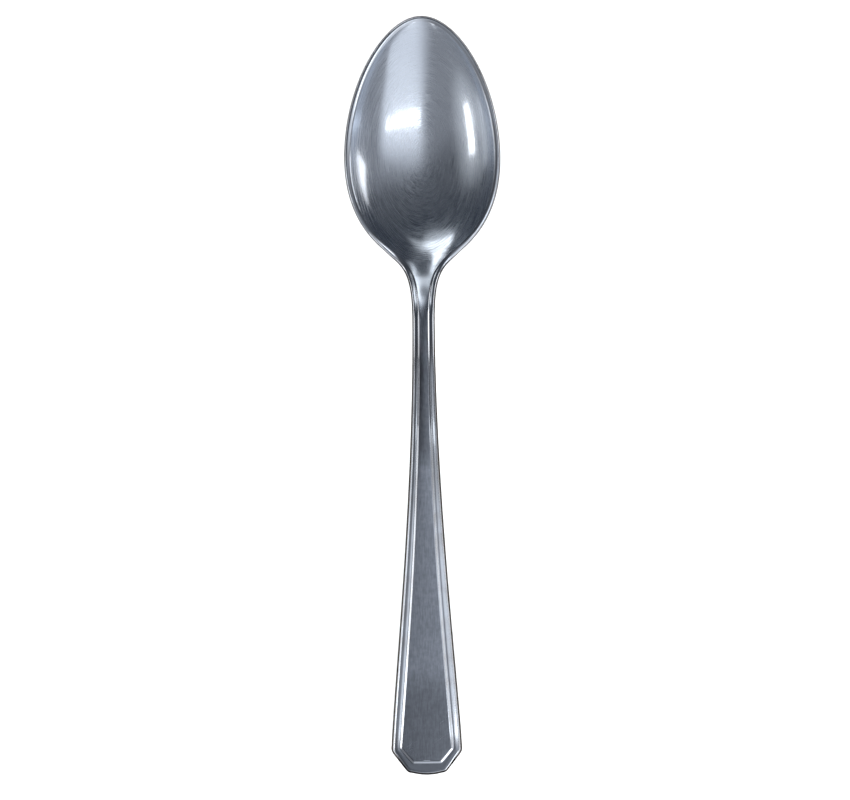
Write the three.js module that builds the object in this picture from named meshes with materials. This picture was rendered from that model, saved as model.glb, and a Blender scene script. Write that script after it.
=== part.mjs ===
// Teaspoon, stamped from one blank of stainless steel: an egg-shaped bowl with a thin lip, a slender neck and
// a flared handle with a raised, bevelled panel and a clipped end.
// Millimetres, +Z up. The spoon lies bowl up on a table at z = 0, its tip towards +Y and the end of its
// handle towards -Y. The origin is on the table, below the middle of the spoon's length and width.
import * as THREE from "three";
import { mergeVertices } from "three/addons/utils/BufferGeometryUtils.js";

// Outline, seen from above. A fullness is how far a curve keeps its first direction, as a share of its run.
const LENGTH = 150;
const BOWL_WIDTH = 30.8;
const TIP_TO_WIDEST = 28;
const WIDEST_TO_SHOULDER = 18.5; // the shoulder is where the outline turns from convex to concave
const SHOULDER_WIDTH = 14.6;
const SHOULDER_ANGLE = 46; // degrees between the outline and the spoon's axis
const SHOULDER_TO_NECK = 13.5;
const NECK_WIDTH = 4.45; // the narrowest place
const END_WIDTH = 14.1; // across the corners where the clips start
const FLARE_ANGLE = 2.9; // degrees between the handle's side and the axis at that corner
const CLIP_LENGTH = 4.3; // of a clipped corner, along the spoon
const CLIP_DEPTH = 3.35; // of a clipped corner, across the spoon
const CLIP_ROUNDING = 0.7; // reach of a corner's rounding along its two sides
const END_BULGE = 0.4; // of the bowed end
const TIP_FULLNESS = 0.475;
const TIP_SIDE_FULLNESS = 0.522;
const WIDEST_FULLNESS = 0.665;
const SHOULDER_BOWL_FULLNESS = 0.12;
const SHOULDER_NECK_FULLNESS = 0.3;
const NECK_BOWL_FULLNESS = 0.757;
const NECK_HANDLE_FULLNESS = 0.41;
const FLARE_FULLNESS = 0.171;

// Raised panel of the handle, seen from above
const PANEL_NECK_WIDTH = 1.5;
const PANEL_END_WIDTH = 9.6; // across the corners where its own clips start
const PANEL_FLARE_ANGLE = 4.4; // degrees
const PANEL_CLIP_LENGTH = 2.5;
const PANEL_CLIP_DEPTH = 2.25;
const PANEL_CLIP_ROUNDING = 0.15;
const PANEL_END_BORDER = 2.9; // end of the handle to the end of the panel
const PANEL_NECK_FULLNESS = 0.45;
const PANEL_FLARE_FULLNESS = 0.3;

// Border: the lip of the bowl and, on the handle, the domed border with the bevel up to the panel
const LIP_WIDTH = 1.08;
const LIP_SLOPE_WIDTH = 0.28; // the part of the lip that falls towards the bowl
const LIP_FALL = 0.16;
const PANEL_NECK_RISE = 0.28; // panel above the border at the neck
const PANEL_RISE = 0.4; // and along the handle
const BEVEL_NECK_WIDTH = 0.52;
const BEVEL_WIDTH = 0.75; // along the handle
const BEVEL_END_WIDTH = 1; // across the end
const BORDER_DOME = 0.045; // height of the border's dome as a share of its width; it is flat across the end
const EDGE_WIDTH = 0.9; // the edge's steep outer part and the rounding above it
const EDGE_SHARE = 0.8; // the most of a narrow border that they take
const EDGE_STEEP = 0.36; // share of their width that is steep
const EDGE_TURN = 42; // degrees between the steep part and the border
const EDGE_END_TURN = 32; // and across the end
const BORDER_OPENING = 0.45; // share of the shoulder's run over which the lip widens into the border
const PANEL_OPENING = 0.65; // share of that run over which the panel rises out of the bowl

// Heights above the table, seen from the side
const TIP_HEIGHT = 9; // of the bowl's inner edge
const LIP_HEIGHT = 8.2; // of the same edge at the widest place
const WIDEST_TO_FLOOR = 0.5; // widest place to the deepest one
const BOWL_FULLNESS = 0.14; // 0 is a parabola across the bowl, 1 a curve of the fourth power
const NECK_TO_CREST = 14; // narrowest place to the top of the handle's arch
const CREST_HEIGHT = 14;
const END_SLOPE = 2; // degrees below level at the end of the handle
const HEEL_FILLET = 1.6; // where the bowl's edge meets the rising neck
const NECK_CROWN = 0.14; // doming of the panel across the neck
const PANEL_CROWN = 0.05; // and across the rest of the handle
const CROWN_FADE = 25; // length of handle over which the one becomes the other
const TIP_FLOOR_RUN = 0.22;
const TIP_FLOOR_FALL = 0.62;
const FLOOR_TIP_FULLNESS = 0.42;
const FLOOR_NECK_FULLNESS = 0.5;
const CREST_NECK_FULLNESS = 0.6;
const CREST_END_FULLNESS = 0.3;
const END_FULLNESS = 0.46;

// Metal below the top surface
const FLOOR_THICKNESS = 1.2;
const NECK_THICKNESS = 3.2;
const END_THICKNESS = 1.9;
const NECK_FADE = 42; // length of handle over which the neck changes into the broad handle
const LIP_WALL = 0.15; // upright part of the edge around the bowl
const NECK_WALL = 1;
const END_WALL = 0.3;
const BACK_RADIUS = 0.45; // rounding of the lower edge
const LIP_BACK_TURN = 45; // degrees that the rounding turns through below the lip
const HANDLE_BACK_TURN = 85; // and below the handle
const BACK_FULLNESS = 0.75; // of the curve across the back of the handle
const REST_FLAT = 0.17; // depth of the flat that the bowl stands on

// How finely each stretch of the outline, and each band across it, is divided
const TIP_STEPS = 20;
const BOWL_STEPS = 13;
const SHOULDER_STEPS = 14;
const HANDLE_STEPS = 26;
const CORNER_STEPS = 2;
const CLIP_STEPS = 3;
const HALF_STEPS = 9; // from the axis to the border
const HALF_CROWDING = 70; // degrees of a sine that crowds those steps towards the border
const DOME_STEPS = 3;
const EDGE_STEPS = 3;
const MERGE = 1e-3; // points closer than this are one point

const TIP_Y = LENGTH / 2;
const WIDEST_Y = TIP_Y - TIP_TO_WIDEST;
const FLOOR_Y = WIDEST_Y - WIDEST_TO_FLOOR;
const SHOULDER_Y = WIDEST_Y - WIDEST_TO_SHOULDER;
const NECK_Y = SHOULDER_Y - SHOULDER_TO_NECK;
const CREST_Y = NECK_Y - NECK_TO_CREST;
const END_Y = -LENGTH / 2;
const CLIP_END_Y = END_Y + END_BULGE;
const CLIP_Y = CLIP_END_Y + CLIP_LENGTH;
const PANEL_END_Y = END_Y + PANEL_END_BORDER;
const PANEL_CLIP_Y = PANEL_END_Y + PANEL_CLIP_LENGTH;

const { lerp, smootherstep, degToRad } = THREE.MathUtils;
const at = (x, y) => new THREE.Vector2(x, y);

// From 0 at the first y to 1 at the second, which lies nearer the end of the handle.
const fade = (y, from, to) => 1 - smootherstep(y, to, from);

// The larger of two heights, with a fillet where they cross.
function filletedMax(a, b, size) {
  const near = Math.max(size - Math.abs(a - b), 0) / size;
  return Math.max(a, b) + (near * near * size) / 4;
}

// A point at a distance from another, at an angle in degrees from -Y towards -X.
function pull(point, angle, distance) {
  const turn = degToRad(angle);
  return at(point.x - distance * Math.sin(turn), point.y - distance * Math.cos(turn));
}

// The points along a chain of curves, without the last one.
const pointsAlong = (chain) => chain.flatMap(([curve, steps]) => curve.getPoints(steps).slice(0, -1));

// Where a coordinate that falls along a curve has a value.
function parameterAt(curve, coordinate, value) {
  let low = 0;
  let high = 1;
  for (let i = 0; i < 40; i += 1) {
    const middle = (low + high) / 2;
    if (curve.getPoint(middle)[coordinate] > value) low = middle;
    else high = middle;
  }
  return low;
}

// The flared side of the handle, or of its panel, with the clipped corner that ends it. Its last point is
// given apart from the others.
function flaredSide({ start, startFullness, corner, angle, fullness, clipEnd, rounding }) {
  const run = start.y - corner.y;
  const clip = clipEnd.clone().sub(corner).setLength(rounding);
  const cornerStart = pull(corner, -angle, -rounding);
  const cornerEnd = corner.clone().add(clip);
  const clipCornerStart = clipEnd.clone().sub(clip);
  const clipCornerEnd = at(clipEnd.x - rounding, clipEnd.y);
  const side = new THREE.CubicBezierCurve(
    start,
    at(start.x, start.y - run * startFullness),
    pull(cornerStart, -angle, -run * fullness),
    cornerStart,
  );
  const sidePoints = Array.from({ length: HANDLE_STEPS }, (_, i) => {
    const y = lerp(start.y, cornerStart.y, i / HANDLE_STEPS);
    return side.getPoint(parameterAt(side, "y", y));
  });
  const endPoints = pointsAlong([
    [new THREE.QuadraticBezierCurve(cornerStart, corner, cornerEnd), CORNER_STEPS],
    [new THREE.LineCurve(cornerEnd, clipCornerStart), CLIP_STEPS],
    [new THREE.QuadraticBezierCurve(clipCornerStart, clipEnd, clipCornerEnd), CORNER_STEPS],
  ]);
  return { points: [...sidePoints, ...endPoints], last: clipCornerEnd };
}

// The curves of the bowl's outline on the +X side, each with its number of steps.
function bowlOutline() {
  const tip = at(0, TIP_Y);
  const widest = at(BOWL_WIDTH / 2, WIDEST_Y);
  const shoulder = at(SHOULDER_WIDTH / 2, SHOULDER_Y);
  const neck = at(NECK_WIDTH / 2, NECK_Y);
  const tipCurve = new THREE.CubicBezierCurve(
    tip,
    at(widest.x * TIP_FULLNESS, TIP_Y),
    at(widest.x, WIDEST_Y + TIP_TO_WIDEST * TIP_SIDE_FULLNESS),
    widest,
  );
  const sideCurve = new THREE.CubicBezierCurve(
    widest,
    at(widest.x, WIDEST_Y - WIDEST_TO_SHOULDER * WIDEST_FULLNESS),
    pull(shoulder, SHOULDER_ANGLE, -WIDEST_TO_SHOULDER * SHOULDER_BOWL_FULLNESS),
    shoulder,
  );
  const shoulderCurve = new THREE.CubicBezierCurve(
    shoulder,
    pull(shoulder, SHOULDER_ANGLE, SHOULDER_TO_NECK * SHOULDER_NECK_FULLNESS),
    at(neck.x, NECK_Y + SHOULDER_TO_NECK * NECK_BOWL_FULLNESS),
    neck,
  );
  return [
    [tipCurve, TIP_STEPS],
    [sideCurve, BOWL_STEPS],
    [shoulderCurve, SHOULDER_STEPS],
  ];
}

// The width of the border around the bowl: the lip, which widens from the shoulder to the neck.
function bowlBorder(y) {
  const opened = lerp(SHOULDER_Y, NECK_Y, BORDER_OPENING);
  return lerp(LIP_WIDTH, (NECK_WIDTH - PANEL_NECK_WIDTH) / 2, fade(y, SHOULDER_Y, opened));
}

// The bowl's outline, moved in square to itself by the width of the border.
function bowlInnerPoints(chain) {
  return chain.flatMap(([curve, steps]) =>
    Array.from({ length: steps }, (_, i) => {
      const point = curve.getPoint(i / steps);
      const way = curve.getTangent(i / steps);
      const border = bowlBorder(point.y);
      return at(point.x + border * way.y, point.y - border * way.x);
    }),
  );
}

// Share of a half width at a step from the axis outwards.
function halfShare(step) {
  const turn = degToRad(HALF_CROWDING);
  return Math.sin((turn * step) / HALF_STEPS) / Math.sin(turn);
}

// The outer edge and the edge of the bowl and panel, on the +X side from the tip to the axis at the end.
// Both have the same number of points, and the border lies between points of the same number.
function edges() {
  const bowl = bowlOutline();
  const handle = flaredSide({
    start: at(NECK_WIDTH / 2, NECK_Y),
    startFullness: NECK_HANDLE_FULLNESS,
    corner: at(END_WIDTH / 2, CLIP_Y),
    angle: FLARE_ANGLE,
    fullness: FLARE_FULLNESS,
    clipEnd: at(END_WIDTH / 2 - CLIP_DEPTH, CLIP_END_Y),
    rounding: CLIP_ROUNDING,
  });
  const panel = flaredSide({
    start: at(PANEL_NECK_WIDTH / 2, NECK_Y),
    startFullness: PANEL_NECK_FULLNESS,
    corner: at(PANEL_END_WIDTH / 2, PANEL_CLIP_Y),
    angle: PANEL_FLARE_ANGLE,
    fullness: PANEL_FLARE_FULLNESS,
    clipEnd: at(PANEL_END_WIDTH / 2 - PANEL_CLIP_DEPTH, PANEL_END_Y),
    rounding: PANEL_CLIP_ROUNDING,
  });
  const outer = [...pointsAlong(bowl), ...handle.points];
  const inner = [...bowlInnerPoints(bowl), ...panel.points];
  const lastSection = outer.length;
  for (let step = HALF_STEPS; step >= 0; step -= 1) {
    const share = halfShare(step);
    outer.push(at(handle.last.x * share, lerp(END_Y, handle.last.y, share * share)));
    inner.push(at(panel.last.x * share, panel.last.y));
  }
  return { outer, inner, lastSection };
}

// A height over y from a chain of curves in the side view, which run from the tip towards the end.
function heightOn(chain, y) {
  const curve = chain.find((each) => y >= each.v3.x) ?? chain.at(-1);
  return curve.getPoint(parameterAt(curve, "x", y)).y;
}

// The floor of the bowl, or its underside, from the tip down to the deepest place.
function floorCurve(start, floor) {
  const run = start.x - FLOOR_Y;
  const fall = start.y - floor;
  return new THREE.CubicBezierCurve(
    start,
    at(start.x - run * TIP_FLOOR_RUN, start.y - fall * TIP_FLOOR_FALL),
    at(FLOOR_Y + run * FLOOR_TIP_FULLNESS, floor),
    at(FLOOR_Y, floor),
  );
}

// The bowl's inner edge, which dips from the tip to the widest place and stays level from there.
function lipHeight(y) {
  const share = Math.max(y - WIDEST_Y, 0) / TIP_TO_WIDEST;
  return lerp(LIP_HEIGHT, TIP_HEIGHT, share * share);
}

// The top surface along the axis: floor of the bowl, neck, arch and end.
const centreChain = (() => {
  const innerTip = at(TIP_Y - LIP_WIDTH, lipHeight(TIP_Y - LIP_WIDTH));
  const floor = at(FLOOR_Y, FLOOR_THICKNESS);
  const crest = at(CREST_Y, CREST_HEIGHT);
  const slope = Math.tan(degToRad(END_SLOPE));
  const end = at(END_Y, END_THICKNESS - slope * (END_BULGE + BACK_RADIUS));
  const neckRun = FLOOR_Y - CREST_Y;
  const handleRun = CREST_Y - END_Y;
  const neckCurve = new THREE.CubicBezierCurve(
    floor,
    at(FLOOR_Y - neckRun * FLOOR_NECK_FULLNESS, floor.y),
    at(CREST_Y + neckRun * CREST_NECK_FULLNESS, crest.y),
    crest,
  );
  const handleCurve = new THREE.CubicBezierCurve(
    crest,
    at(CREST_Y - handleRun * CREST_END_FULLNESS, crest.y),
    at(END_Y + handleRun * END_FULLNESS, end.y + slope * handleRun * END_FULLNESS),
    end,
  );
  return [floorCurve(innerTip, floor.y), neckCurve, handleCurve];
})();
const centreHeight = (y) => heightOn(centreChain, y);

// The inner edge of the border: the bowl's edge, and past the heel the side of the slightly domed panel.
function innerHeight(y) {
  const crown = lerp(NECK_CROWN, PANEL_CROWN, fade(y, NECK_Y, NECK_Y - CROWN_FADE));
  const panel = centreHeight(Math.min(y, TIP_Y - LIP_WIDTH)) - crown * fade(y, SHOULDER_Y, NECK_Y);
  return y > NECK_Y ? filletedMax(lipHeight(y), panel, HEEL_FILLET) : panel;
}

// How far a place has changed from bowl to handle, from neck to broad handle and from its side to its end.
const handleShare = (y) => fade(y, SHOULDER_Y, lerp(SHOULDER_Y, NECK_Y, PANEL_OPENING));
const broadShare = (y) => fade(y, NECK_Y, NECK_Y - NECK_FADE);
const endShare = (y) => fade(y, CLIP_Y + CLIP_ROUNDING, CLIP_END_Y);

// The border across, from the outer edge inwards: pairs of distance from that edge and height above its foot.
function borderProfile(y, width) {
  const onHandle = handleShare(y);
  const onEnd = endShare(y);
  const rise = lerp(-LIP_FALL, lerp(PANEL_NECK_RISE, PANEL_RISE, broadShare(y)), onHandle);
  const bevel = lerp(lerp(BEVEL_NECK_WIDTH, BEVEL_WIDTH, broadShare(y)), BEVEL_END_WIDTH, onEnd);
  const foot = width - lerp(LIP_SLOPE_WIDTH, bevel, onHandle);
  const edgeWidth = Math.min(EDGE_WIDTH, EDGE_SHARE * foot);
  const steep = EDGE_STEEP * edgeWidth;
  const turn = degToRad(lerp(EDGE_TURN, EDGE_END_TURN, onEnd));
  const domeSlope = 4 * BORDER_DOME * (1 - onEnd);
  const meeting = Math.atan(domeSlope);
  const radius = (edgeWidth - steep) / (Math.sin(turn) - Math.sin(meeting));
  const rounding = Array.from({ length: EDGE_STEPS }, (_, i) => {
    const tilt = lerp(turn, meeting, i / EDGE_STEPS);
    const distance = edgeWidth - radius * (Math.sin(tilt) - Math.sin(meeting));
    return [distance, radius * (Math.cos(tilt) - Math.cos(meeting))];
  });
  const dome = Array.from({ length: DOME_STEPS + 1 }, (_, i) => {
    const share = i / DOME_STEPS;
    return [lerp(edgeWidth, foot, share), domeSlope * (foot - edgeWidth) * share * (1 - share)];
  });
  const outermost = [0, rounding[0][1] - steep * Math.tan(turn)];
  return { rise, points: [outermost, ...rounding, ...dome] };
}

// Thickness at the axis, and height of the upright part of the edge.
function metalBelow(y) {
  const toNeck = fade(y, FLOOR_Y, NECK_Y);
  const onHandle = handleShare(y);
  return {
    thickness: lerp(lerp(FLOOR_THICKNESS + REST_FLAT, NECK_THICKNESS, toNeck), END_THICKNESS, broadShare(y)),
    wall: lerp(lerp(LIP_WALL, NECK_WALL, onHandle), END_WALL, broadShare(y)),
    backTurn: degToRad(lerp(LIP_BACK_TURN, HANDLE_BACK_TURN, onHandle)),
    fullness: lerp(BOWL_FULLNESS, BACK_FULLNESS, broadShare(y)),
  };
}

// One strip of points across the spoon: from the panel's edge over the border and down the outer edge to the
// start of the back.
function edgeStrip(outer, inner) {
  const width = outer.distanceTo(inner);
  const { rise, points } = borderProfile(outer.y, width);
  const { wall, backTurn } = metalBelow(outer.y);
  const place = (distance, height) => {
    const plan = outer.clone().lerp(inner, distance / width);
    return new THREE.Vector3(plan.x, plan.y, innerHeight(plan.y) + height);
  };
  const top = points.map(([distance, height]) => place(distance, height - rise)).reverse();
  const wallFoot = top.at(-1).z - wall;
  const back = Array.from({ length: EDGE_STEPS + 1 }, (_, i) => {
    const turn = (backTurn * i) / EDGE_STEPS;
    const plan = outer.clone().lerp(inner, (BACK_RADIUS * (1 - Math.cos(turn))) / width);
    return new THREE.Vector3(plan.x, plan.y, wallFoot - BACK_RADIUS * Math.sin(turn));
  });
  return [place(width, 0), ...top, ...back];
}

// Points from the axis to the edge of the bowl or panel, or to the edge of the back.
function halfSection(edge, axisHeight, fullness) {
  return Array.from({ length: HALF_STEPS + 1 }, (_, step) => {
    const share = halfShare(step);
    const height = lerp(axisHeight, edge.z, lerp(share ** 2, share ** 4, fullness));
    return new THREE.Vector3(edge.x * share, edge.y, height);
  });
}

// Faces between neighbouring rows of points on the +X side, and their mirror images.
function addRows(positions, rows) {
  const addFace = (a, b, c) => {
    if (a.distanceTo(b) < MERGE || b.distanceTo(c) < MERGE || c.distanceTo(a) < MERGE) return;
    positions.push(...a, ...b, ...c);
    positions.push(-a.x, a.y, a.z, -c.x, c.y, c.z, -b.x, b.y, b.z);
  };
  for (let row = 1; row < rows.length; row += 1) {
    for (let i = 1; i < rows[row].length; i += 1) {
      const [a, b] = [rows[row - 1][i - 1], rows[row][i - 1]];
      const [c, d] = [rows[row][i], rows[row - 1][i]];
      addFace(a, b, c);
      addFace(a, c, d);
    }
  }
}

function spoonGeometry() {
  const { outer, inner, lastSection } = edges();
  const strips = outer.map((point, i) => edgeStrip(point, inner[i]));
  const sectionStrips = strips.slice(0, lastSection + 1);
  const tops = sectionStrips.map((strip) => halfSection(strip[0], centreHeight(strip[0].y), BOWL_FULLNESS));
  const tipBack = strips[0].at(-1);
  const bowlBack = [floorCurve(at(tipBack.y, tipBack.z), -REST_FLAT)];
  const backs = sectionStrips.map((strip) => {
    const edge = strip.at(-1);
    const { thickness, fullness } = metalBelow(edge.y);
    const axis = edge.y > FLOOR_Y ? heightOn(bowlBack, edge.y) : centreHeight(edge.y) - thickness;
    return halfSection(edge, axis, fullness);
  });

  // The end of the panel and of the back: the last section, point by point against the bowed end.
  const endTop = tops.at(-1).toReversed();
  const endBack = backs.at(-1).toReversed();
  strips.slice(lastSection).forEach((strip, i) => {
    strip[0] = endTop[i];
  });
  const endRows = strips.slice(lastSection).map((strip, i) => [strip.at(-1), endBack[i]]);
  [...strips, ...backs].flat().forEach((point) => point.setZ(Math.max(point.z, 0)));

  const positions = [];
  addRows(positions, tops);
  addRows(positions, strips);
  addRows(positions, backs.map((row) => row.toReversed()));
  addRows(positions, endRows);
  const geometry = new THREE.BufferGeometry();
  geometry.setAttribute("position", new THREE.Float32BufferAttribute(positions, 3));
  const closed = mergeVertices(geometry, MERGE);
  closed.computeVertexNormals();
  return closed;
}

const steel = new THREE.MeshStandardMaterial({ color: 0xb9bcc4, roughness: 0.22, metalness: 1 });
const teaspoon = new THREE.Mesh(spoonGeometry(), steel);
teaspoon.name = "teaspoon";

const spoon = new THREE.Group();
spoon.add(teaspoon);

export default spoon;
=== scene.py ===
"""Teaspoon of stainless steel: bowl with a rolled lip, slender neck and a handle with a raised panel."""

from math import cos, pi, radians, sin, tan

import bmesh
import bpy
import numpy as np
from bpy.props import FloatProperty, FloatVectorProperty, PointerProperty
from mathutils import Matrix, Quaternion, Vector


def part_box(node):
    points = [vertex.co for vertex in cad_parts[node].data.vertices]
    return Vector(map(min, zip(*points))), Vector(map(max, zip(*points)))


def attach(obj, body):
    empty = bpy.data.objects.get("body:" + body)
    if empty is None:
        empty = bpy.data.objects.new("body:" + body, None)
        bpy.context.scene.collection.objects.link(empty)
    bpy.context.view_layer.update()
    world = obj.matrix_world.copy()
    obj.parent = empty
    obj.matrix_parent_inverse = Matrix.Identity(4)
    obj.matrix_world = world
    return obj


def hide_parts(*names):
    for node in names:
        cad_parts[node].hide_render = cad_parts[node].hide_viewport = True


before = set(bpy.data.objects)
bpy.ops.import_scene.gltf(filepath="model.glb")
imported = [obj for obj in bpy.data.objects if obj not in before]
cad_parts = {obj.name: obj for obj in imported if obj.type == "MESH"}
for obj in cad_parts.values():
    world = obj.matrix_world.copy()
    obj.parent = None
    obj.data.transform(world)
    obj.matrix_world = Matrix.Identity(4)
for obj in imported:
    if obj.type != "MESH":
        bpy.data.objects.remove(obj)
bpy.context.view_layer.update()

bl_info = {
    "name": "Teaspoon",
    "version": (1, 0, 0),
    "blender": (4, 5, 0),
    "location": "3D View > Sidebar > Teaspoon",
    "description": "Makes a stainless steel teaspoon and the studio around it",
    "category": "Add Mesh",
}

SPOON_LOW, SPOON_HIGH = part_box("teaspoon")
MM = 0.001


def length(name, description, millimetres):
    """A property for a size along, across or up the spoon."""
    kind = {"min": 0, "precision": 5, "unit": "LENGTH"}
    return FloatProperty(name=name, description=description, default=millimetres * MM, **kind)


def angle(name, description, degrees):
    """A property for an angle."""
    return FloatProperty(name=name, description=description, default=radians(degrees), subtype="ANGLE")


def share(name, description, part):
    """A property for a share between nothing and all."""
    kind = {"min": 0, "max": 1, "precision": 3, "subtype": "FACTOR"}
    return FloatProperty(name=name, description=description, default=part, **kind)


def colour(name, description, parts):
    """A property for a colour of light or metal."""
    kind = {"min": 0, "soft_max": 1, "size": 3, "subtype": "COLOR"}
    return FloatVectorProperty(name=name, description=description, default=parts, **kind)


class SpoonOutline(bpy.types.PropertyGroup):
    """The spoon and its panel seen from above"""

    long: length("Length", "Tip of the bowl to the end of the handle", (SPOON_HIGH.y - SPOON_LOW.y) / MM)
    bowl_width: length("Bowl width", "Across its widest place", (SPOON_HIGH.x - SPOON_LOW.x) / MM)
    tip_to_widest: length("Tip to widest", "Tip of the bowl to its widest place", 28)
    widest_to_shoulder: length("Widest to shoulder", "Widest place to the turn of the outline", 18.5)
    shoulder_width: length("Shoulder width", "Across the bowl where its outline turns hollow", 14.6)
    shoulder_angle: angle("Shoulder angle", "Between outline and axis at the shoulder", 46)
    shoulder_to_neck: length("Shoulder to neck", "Shoulder to the narrowest place", 13.5)
    neck_width: length("Neck width", "Across the narrowest place", 4.45)
    end_width: length("End width", "Across the handle's corners", 14.1)
    flare_angle: angle("Flare angle", "Between the handle's side and the axis at its corner", 2.9)
    clip_length: length("Clip length", "Of a clipped corner, along the spoon", 4.3)
    clip_depth: length("Clip depth", "Of a clipped corner, across the spoon", 3.35)
    clip_rounding: length("Clip rounding", "Reach of the corners' rounding", 0.7)
    end_bulge: length("End bulge", "How far the end bows out", 0.4)
    panel_neck_width: length("Panel at the neck", "Across the panel at the neck", 1.5)
    panel_end_width: length("Panel at the end", "Across the panel's corners", 9.6)
    panel_flare_angle: angle("Panel flare", "Between the panel's side and the axis at its corner", 4.4)
    panel_clip_length: length("Panel clip length", "Of the panel's clipped corner, along the spoon", 2.5)
    panel_clip_depth: length("Panel clip depth", "Of the panel's clipped corner, across the spoon", 2.25)
    panel_clip_rounding: length("Panel clip rounding", "Reach of the panel corners' rounding", 0.15)
    panel_end_border: length("End border", "End of the handle to the end of the panel", 2.9)


class SpoonSection(bpy.types.PropertyGroup):
    """Heights, thicknesses and the border's section"""

    lip_width: length("Lip width", "Across the lip of the bowl", 1.08)
    lip_roll_width: length("Lip roll", "The part of the lip that rolls down into the bowl", 0.42)
    lip_fall: length("Lip fall", "How far that part falls", 0.16)
    panel_neck_rise: length("Panel rise at the neck", "Panel above the border at the neck", 0.28)
    panel_rise: length("Panel rise", "Panel above the border along the handle", 0.32)
    bevel_neck_width: length("Neck bevel", "Width of the bevel at the neck", 0.42)
    bevel_width: length("Bevel", "Width of the bevel along the handle", 0.6)
    bevel_end_width: length("End bevel", "Width of the bevel across the end", 0.8)
    border_dome: share("Border dome", "Height of the border's dome as a share of its width", 0.045)
    edge_width: length("Edge width", "The edge's steep outer part and the rounding above it", 0.9)
    edge_share: share("Edge share", "The most of a narrow border that the edge takes", 0.7)
    edge_steep: share("Edge steepness", "Share of the edge's width that is steep", 0.4)
    edge_turn: angle("Edge turn", "Between the steep part and the border", 52)
    edge_end_turn: angle("End turn", "The same across the end", 32)
    tip_height: length("Tip height", "Of the bowl's inner edge at the tip", 9)
    lip_height: length("Lip height", "Of that edge at the widest place", 8.2)
    widest_to_floor: length("Widest to floor", "Widest place to the deepest one", 0.5)
    bowl_fullness: share("Bowl fullness", "Parabola at 0, curve of the fourth power at 1", 0.14)
    neck_to_crest: length("Neck to crest", "Narrowest place to the top of the arch", 14)
    crest_height: length("Crest height", "Top of the handle's arch", SPOON_HIGH.z / MM)
    end_slope: angle("End slope", "Fall of the handle at its end", 2)
    neck_swell: length("Neck swell", "Rise of the neck above the plain curve of the side view", 0.74)
    heel_dip: length("Heel dip", "Fall of the bowl's edge towards the neck", 1.3)
    heel_fillet: length("Heel fillet", "Where the bowl's edge meets the rising neck", 1.6)
    neck_crown: length("Neck crown", "Doming of the panel across the neck", 0.14)
    panel_crown: length("Panel crown", "Doming of the panel across the handle", 0.05)
    crown_fade: length("Crown fade", "Handle over which one doming becomes the other", 25)
    floor_thickness: length("Floor thickness", "Metal under the bowl", 1.2)
    neck_thickness: length("Neck thickness", "Metal at the neck", 3.2)
    end_thickness: length("End thickness", "Metal at the end of the handle", 1.9)
    neck_fade: length("Neck fade", "Handle over which the neck changes into the broad handle", 42)
    lip_wall: length("Lip wall", "Upright part of the edge around the bowl", 0.15)
    neck_wall: length("Neck wall", "Upright part of the edge at the neck", 1)
    end_wall: length("End wall", "Upright part of the edge at the end", 0.3)
    back_radius: length("Back radius", "Rounding of the lower edge", 0.45)
    back_fullness: share("Back fullness", "Of the curve across the back of the handle", 0.75)
    rest_flat: length("Rest flat", "Depth of the flat that the bowl stands on", 0.17)


class SteelFinish(bpy.types.PropertyGroup):
    """Colour and polish of the steel, and the painted shade on it"""

    steel: colour("Steel", "Colour of the polished metal", (0.60, 0.635, 0.69))
    brushed: colour("Brushed steel", "Colour of the brushed panel", (0.40, 0.43, 0.49))
    worn: colour("Worn steel", "Colour where the bowl is dulled", (0.50, 0.53, 0.59))
    # A real warm tint in patches of the border; on the outer edge it is also painted shade that darkens
    # it.
    tarnish_and_shade: colour("Tarnish and shade", "Warm tint of the edge and in patches of the border", (0.30, 0.27, 0.25))
    # Painted shade: a warm near-black line painted where the outer edge faces up.
    painted_rim_shade: colour("Painted rim shade", "Warm dark line along the outline", (0.034, 0.029, 0.026))
    bowl_polish: share("Bowl polish", "Roughness of the bowl between its buffing lines", 0.09)
    bowl_haze: share("Bowl haze", "Roughness of the bowl on its buffing lines", 0.37)
    panel_roughness: share("Panel roughness", "Of the brushed panel", 0.34)
    # Painted shade: how much darker the panel is painted past the neck, on the handle's arch and at the
    # end; the end's share also darkens the satin ledge.
    panel_painted_shade: share("Panel painted shade", "How much darker the panel is past the neck", 0.45)
    crest_painted_shade: share("Crest painted shade", "How much darker the panel is on top of the handle's arch", 0.72)
    end_painted_shade: share("End painted shade", "How much darker the steel is at the end of the handle", 0.66)
    border_roughness: share("Border roughness", "Of the polished border", 0.12)


class StudioLight(bpy.types.PropertyGroup):
    """Floor, light and camera"""

    floor: colour("Floor", "Colour of the floor", (0.9, 0.9, 0.9))
    grey: colour("Grey wall", "Light from the near side of the room", (0.295, 0.309, 0.339))
    dark: colour("Dark ceiling", "Light from overhead and beyond", (0.104, 0.112, 0.128))
    back: colour("Back wall", "Light from the far side of the room", (0.060, 0.069, 0.085))
    window: colour("Window", "Light from the window overhead", (1.02, 1.07, 1.15))
    camera_height: length("Camera height", "Camera above the floor", 1200)
    photo_width: length("Photo width", "Width that the picture takes in at the spoon", 167.95)
    roll: angle("Roll", "Turn of the spoon in the picture", 0.442)


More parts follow.
